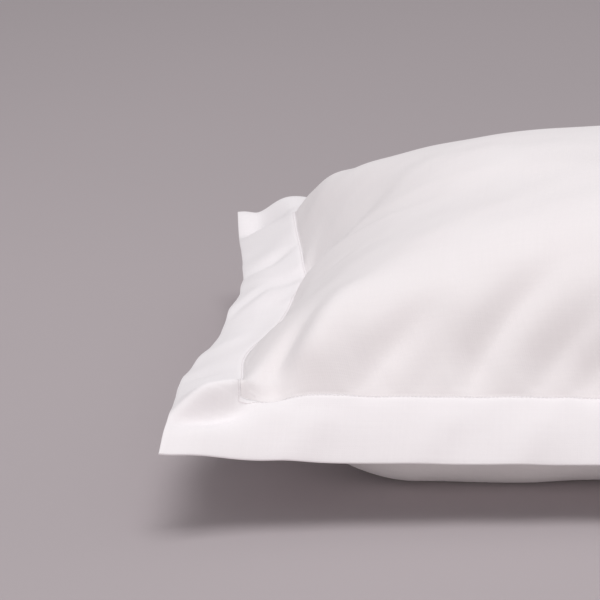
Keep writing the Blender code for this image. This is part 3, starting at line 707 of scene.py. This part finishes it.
def percale(name, colour_hex, pitch):
    """Cotton percale: a plain weave of fine combed yarn, washed and pressed.

    It looks a matt, slightly warm white, with a soft light edge where its fibres stand up, faint
    thicker yarns along both ways of the weave, and small crinkles. Its threads lie 0.25 mm apart,
    which is too fine to show, so the weave is drawn at the pitch given.
    """
    material, tree, shader = new_material(name)
    cloth_map = add_node(tree, "ShaderNodeUVMap", {"uv_map": "Cloth"}).outputs["UV"]
    heights = []
    for direction in ("X", "Y"):
        wave = add_node(
            tree, "ShaderNodeTexWave", {"bands_direction": direction}, {"Vector": cloth_map},
            Scale=BAND / pitch, Distortion=0.35, Detail=1.0,
        )
        heights.append(wave.outputs["Fac"])
    weave = add_node(
        tree, "ShaderNodeMath", {"operation": "MULTIPLY"}, {0: heights[0], 1: heights[1]}
    )
    # Thicker yarns, each a pitch wide, along the warp and along the weft.
    yarns = []
    for stretch in ((YARNS_PER_METRE, 1 / pitch, 1), (1 / pitch, YARNS_PER_METRE, 1)):
        mapping = add_node(tree, "ShaderNodeMapping", None, {"Vector": cloth_map}, Scale=stretch)
        noise = add_node(
            tree, "ShaderNodeTexNoise", None, {"Vector": mapping.outputs["Vector"]},
            Scale=1.0, Detail=1.0, Roughness=0.5,
        )
        yarns.append(noise.outputs["Fac"])
    slubs = add_node(tree, "ShaderNodeMath", {"operation": "ADD"}, {0: yarns[0], 1: yarns[1]})
    crinkle = add_node(
        tree, "ShaderNodeTexNoise", None, {"Vector": cloth_map},
        Scale=CRINKLES_PER_METRE, Detail=3, Roughness=0.55,
    )
    cloudy = add_node(
        tree, "ShaderNodeTexNoise", None, {"Vector": cloth_map},
        Scale=CLOUDS_PER_METRE, Detail=2, Roughness=0.5,
    )
    base = np.array(linear(colour_hex))
    tint = add_node(tree, "ShaderNodeMix", {"data_type": "RGBA"}, {"Factor": cloudy.outputs["Fac"]})
    tint.inputs["A"].default_value = base * (0.985, 0.975, 0.978, 1)
    tint.inputs["B"].default_value = np.minimum(base * (1.01, 1.015, 1.015, 1), 1)
    yarn_tint = add_node(
        tree, "ShaderNodeMapRange", None, {"Value": slubs.outputs[0]},
        From_Min=0.7, From_Max=1.3, To_Min=0.985, To_Max=1.0,
    )
    shaded = add_node(
        tree, "ShaderNodeVectorMath", {"operation": "SCALE"},
        {0: tint.outputs["Result"], "Scale": yarn_tint.outputs["Result"]},
    )
    tree.links.new(shaded.outputs["Vector"], shader.inputs["Base Color"])
    crinkled = add_bump(tree, crinkle.outputs["Fac"], 0.35, 0.0006)
    yarned = add_bump(tree, slubs.outputs[0], 0.3, 0.0001, crinkled)
    woven = add_bump(tree, weave.outputs[0], 0.35, 0.0001, yarned)
    tree.links.new(woven, shader.inputs["Normal"])
    shader.inputs["Roughness"].default_value = 0.85
    shader.inputs["IOR"].default_value = 1.53
    shader.inputs["Specular IOR Level"].default_value = 0.25
    shader.inputs["Sheen Weight"].default_value = 0.12
    shader.inputs["Sheen Roughness"].default_value = 0.5
    return material


def sewing_thread(name, colour_hex):
    """Spun polyester thread, three plies twisted: white, a soft gloss on each turn of a ply, with
    painted shade in the grooves between the turns.
    """
    material, tree, shader = new_material(name)
    place_in = add_node(tree, "ShaderNodeTexCoord").outputs["Object"]
    ply = add_node(
        tree, "ShaderNodeTexWave", {"bands_direction": "DIAGONAL"}, {"Vector": place_in},
        Scale=BAND / PLY_PITCH, Distortion=1.0,
    )
    # Painted shade: the thread's colour is a tenth darker in the grooves between the turns of its
    # plies.
    tint = add_node(tree, "ShaderNodeMix", {"data_type": "RGBA"}, {"Factor": ply.outputs["Fac"]})
    base = np.array(linear(colour_hex))
    tint.inputs["A"].default_value = base * (0.9, 0.9, 0.9, 1)
    tint.inputs["B"].default_value = base
    tree.links.new(tint.outputs["Result"], shader.inputs["Base Color"])
    tree.links.new(add_bump(tree, ply.outputs["Fac"], 0.4, 0.00005), shader.inputs["Normal"])
    shader.inputs["Roughness"].default_value = 0.5
    shader.inputs["IOR"].default_value = 1.57
    return material


def painted_board(name, colour_hex):
    """A board with matt emulsion paint, rolled on: an even mauve grey with a very fine stipple."""
    material, tree, shader = new_material(name)
    place_in = add_node(tree, "ShaderNodeTexCoord").outputs["Object"]
    stipple = add_node(tree, "ShaderNodeTexNoise", None, {"Vector": place_in}, Scale=600, Detail=2)
    soft = add_node(tree, "ShaderNodeTexNoise", None, {"Vector": place_in}, Scale=1.2, Detail=2)
    tint = add_node(tree, "ShaderNodeMix", {"data_type": "RGBA"}, {"Factor": soft.outputs["Fac"]})
    base = np.array(linear(colour_hex))
    tint.inputs["A"].default_value = base * (0.95, 0.96, 0.96, 1)
    tint.inputs["B"].default_value = base * (1.04, 1.03, 1.03, 1)
    tree.links.new(tint.outputs["Result"], shader.inputs["Base Color"])
    tree.links.new(add_bump(tree, stipple.outputs["Fac"], 0.1, 0.0002), shader.inputs["Normal"])
    shader.inputs["Roughness"].default_value = 0.9
    return material


class PILLOWCASE_OT_pocket(bpy.types.Operator):
    """Make the filled pocket: front and back cloth, plump over its filling"""

    bl_idname = "pillowcase.make_pocket"
    bl_label = "Make the filled pocket"

    def execute(self, context):
        cloth = context.scene.pillowcase_cloth
        bm = bmesh.new()
        flat_skins(bm, stops(HALF_LENGTH, cloth.cell), stops(HALF_DEPTH, cloth.cell))
        join_skins(bm, [edge for edge in bm.edges if edge.is_boundary])
        map_cloth(bm)

        def surface(u, v, facing):
            relief = cloth_relief(cloth, u, v)[..., None]
            top = pocket_top(u, v) + normals(pocket_top, u, v) * relief
            plain = pocket_belly(u, v)
            belly = plain - normals(pocket_belly, u, v) * relief
            # It stays flat where it rests, and nowhere sinks into the ground.
            belly[..., 2] = np.where(plain[..., 2] <= 0, 0, np.maximum(belly[..., 2], 0))
            return np.where(facing[..., None] > 0, top, belly)

        shape(bm, surface)
        material = percale("cotton_percale_woven", cloth.colour, cloth.weave_pitch)
        piece = finished_piece(bm, "pocket_cloth", material, "white_cotton", "filled_pocket")
        return {"FINISHED"}


class PILLOWCASE_OT_flange(bpy.types.Operator):
    """Make the flange: both cloths lying on each other, turned at the free edge"""

    bl_idname = "pillowcase.make_flange"
    bl_label = "Make the flange"

    def execute(self, context):
        cloth = context.scene.pillowcase_cloth
        bm = bmesh.new()
        out = flange_stops(cloth.cell)
        long_stops, deep_stops = stops(HALF_LENGTH, cloth.cell), stops(HALF_DEPTH, cloth.cell)
        columns = np.concatenate([-HALF_LENGTH - out[:0:-1], long_stops, HALF_LENGTH + out[1:]])
        rows = np.concatenate([-HALF_DEPTH - out[:0:-1], deep_stops, HALF_DEPTH + out[1:]])
        flat_skins(bm, columns, rows)
        inner = []
        for face in bm.faces:
            middle = face.calc_center_median()
            if beyond_stitching(middle.x, middle.y) < 0:
                inner.append(face)
        bmesh.ops.delete(bm, geom=inner, context="FACES")
        free_edge, stitched_edge = [], []
        for edge in bm.edges:
            if edge.is_boundary:
                middle = edge.verts[0].co.lerp(edge.verts[1].co, 0.5)
                at_free_edge = beyond_stitching(middle.x, middle.y) > FLANGE_WIDTH / 2
                (free_edge if at_free_edge else stitched_edge).append(edge)
        join_skins(bm, free_edge)
        join_skins(bm, stitched_edge)
        map_cloth(bm)

        def surface(u, v, facing):
            away = beyond_stitching(u, v)
            past = np.clip((away - FLANGE_WIDTH + EDGE_RADIUS) / EDGE_RADIUS, 0, 1)
            half = EDGE_RADIUS * np.sqrt(1 - past**2)
            leaning = smooth(0, 2 * HINGE_WIDTH, away)[..., None]
            upright = np.array([0.0, 0.0, 1.0])
            across = upright + (normals(flange_points, u, v) - upright) * leaning
            relief = cloth_relief(cloth, u, v)
            return flange_points(u, v) + across * (facing * half + relief)[..., None]

        shape(bm, surface)
        # The flange's colour is partly painted light, lighter than two layers of cloth alone would
        # be.
        material = percale("cotton_percale_double_and_painted_light", cloth.double_and_painted_light_colour, cloth.weave_pitch)
        piece = finished_piece(bm, "flange_cloth", material, "white_cotton_double", "flange")
        return {"FINISHED"}


class PILLOWCASE_OT_stitching(bpy.types.Operator):
    """Sew the flange: one row of lockstitch, seen on both sides"""

    bl_idname = "pillowcase.make_stitching"
    bl_label = "Sew the stitching"

    def execute(self, context):
        cloth, stitch = context.scene.pillowcase_cloth, context.scene.pillowcase_stitch
        a, b = HALF_LENGTH + stitch.inset, HALF_DEPTH + stitch.inset
        corners = np.array([(-a, -b), (a, -b), (a, b), (-a, b), (-a, -b)])
        sides = np.linalg.norm(np.diff(corners, axis=0), axis=1)
        run = np.concatenate([[0], np.cumsum(sides)])
        count = int(round(run[-1] / stitch.length))
        curve = bpy.data.curves.new("stitching", "CURVE")
        curve.dimensions = "3D"
        curve.bevel_depth = stitch.diameter / 2
        curve.bevel_resolution = 1
        curve.use_fill_caps = True
        at = (np.arange(count)[:, None] + np.array(STITCH_SHARES)) * run[-1] / count
        u, v = np.interp(at, run, corners[:, 0]), np.interp(at, run, corners[:, 1])
        middle, upright = flange_points(u, v), normals(flange_points, u, v)
        relief = cloth_relief(cloth, u, v)
        arch = np.array(STITCH_ARCH) * stitch.diameter
        for facing in (1, -1):
            lying = facing * (FLANGE_THICKNESS / 2 + arch) + relief
            for points in middle + upright * lying[..., None]:
                spline = curve.splines.new("POLY")
                spline.points.add(len(points) - 1)
                weighted = np.append(points, np.ones((len(points), 1)), 1)
                spline.points.foreach_set("co", weighted.ravel())
        curve.materials.append(sewing_thread("polyester_sewing_thread_spun", stitch.colour))
        piece = bpy.data.objects.new("stitching", curve)
        bpy.context.scene.collection.objects.link(piece)
        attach(piece, "root")
        return {"FINISHED"}


class PILLOWCASE_OT_stage(bpy.types.Operator):
    """Set the stage: a plain floor, soft studio light and the camera"""

    bl_idname = "pillowcase.make_stage"
    bl_label = "Set the stage"

    def execute(self, context):
        stage = context.scene.pillowcase_stage
        self.make_floor(stage)
        self.make_light(context.scene, stage)
        self.make_camera(context.scene, stage)
        return {"FINISHED"}

    def make_floor(self, stage):
        """A wide floor just under the case."""
        bm = bmesh.new()
        bmesh.ops.create_grid(
            bm, x_segments=FLOOR_CELLS, y_segments=FLOOR_CELLS, size=FLOOR_REACH
        )
        mesh = bpy.data.meshes.new("studio_floor")
        bm.to_mesh(mesh)
        bm.free()
        mesh.materials.append(painted_board("emulsion_paint_rolled", stage.floor_colour))
        floor = bpy.data.objects.new("studio_floor", mesh)
        floor.location.z = -FLOOR_DROP
        bpy.context.scene.collection.objects.link(floor)

    def make_light(self, scene, stage):
        """An even sky, one large softbox overhead and one low in front."""
        world = bpy.data.worlds.new("studio_sky")
        world.use_nodes = True
        background = world.node_tree.nodes["Background"]
        background.inputs["Color"].default_value = SKY_COLOUR
        background.inputs["Strength"].default_value = stage.sky
        scene.world = world
        for name, power, lamp in (
            ("softbox_overhead", stage.key, OVERHEAD),
            ("softbox_front", stage.fill, LOW_IN_FRONT),
        ):
            softbox = bpy.data.lights.new(name, "AREA")
            softbox.energy = power
            softbox.size = stage.softbox_size
            softbox.color = lamp.colour
            light = bpy.data.objects.new(name, softbox)
            direction = Vector(lamp.towards).normalized()
            light.location = direction * lamp.distance
            light.rotation_euler = direction.to_track_quat("Z", "Y").to_euler()
            scene.collection.objects.link(light)

    def make_camera(self, scene, stage):
        """The photograph's view: from the front, a little above, the right half out of view."""
        camera = bpy.data.objects.new("camera", bpy.data.cameras.new("camera"))
        camera.data.sensor_width = SENSOR_WIDTH
        camera.data.lens = FOCAL_PIXELS / FRAME_PIXELS * SENSOR_WIDTH
        camera.data.clip_end = SIGHT
        tilt = np.radians(stage.elevation)
        turn = np.arctan(ASIDE_PIXELS / FOCAL_PIXELS)
        ahead = Vector((0, np.cos(tilt), -np.sin(tilt)))
        up = Vector((0, np.sin(tilt), np.cos(tilt)))
        across = Vector((1, 0, 0))
        right = across * np.cos(turn) + ahead * np.sin(turn)
        back = across * np.sin(turn) - ahead * np.cos(turn)
        aim = Vector((0, 0, AIM_HEIGHT))
        turned = Matrix((right, up, back)).transposed().to_4x4()
        camera.matrix_world = Matrix.Translation(aim - ahead * stage.distance) @ turned
        scene.collection.objects.link(camera)
        scene.camera = camera


class PILLOWCASE_PT_panel(bpy.types.Panel):
    """The pillowcase's settings and steps"""

    bl_idname = "PILLOWCASE_PT_panel"
    bl_label = "Pillowcase"
    bl_space_type = "VIEW_3D"
    bl_region_type = "UI"
    bl_category = "Pillowcase"

    def draw(self, context):
        for name in SETTINGS:
            settings = getattr(context.scene, name)
            box = self.layout.box()
            for prop in settings.bl_rna.properties:
                if prop.identifier not in ("rna_type", "name"):
                    box.prop(settings, prop.identifier)
        for operator in STEPS:
            self.layout.operator(operator.bl_idname)


SETTINGS = {
    "pillowcase_cloth": ClothSettings,
    "pillowcase_stitch": StitchSettings,
    "pillowcase_stage": StageSettings,
}
STEPS = (
    PILLOWCASE_OT_pocket,
    PILLOWCASE_OT_stitching,
    PILLOWCASE_OT_flange,
    PILLOWCASE_OT_stage,
)
CLASSES = (*SETTINGS.values(), *STEPS, PILLOWCASE_PT_panel)


def register():
    for one in CLASSES:
        bpy.utils.register_class(one)
    for name, group in SETTINGS.items():
        setattr(bpy.types.Scene, name, PointerProperty(type=group))


def unregister():
    for name in SETTINGS:
        delattr(bpy.types.Scene, name)
    for one in reversed(CLASSES):
        bpy.utils.unregister_class(one)


def main():
    register()
    bpy.ops.pillowcase.make_pocket()
    bpy.ops.pillowcase.make_stitching()
    bpy.ops.pillowcase.make_flange()
    bpy.ops.pillowcase.make_stage()
    bpy.context.scene.view_settings.view_transform = "Standard"


if __name__ == "__main__":
    main()
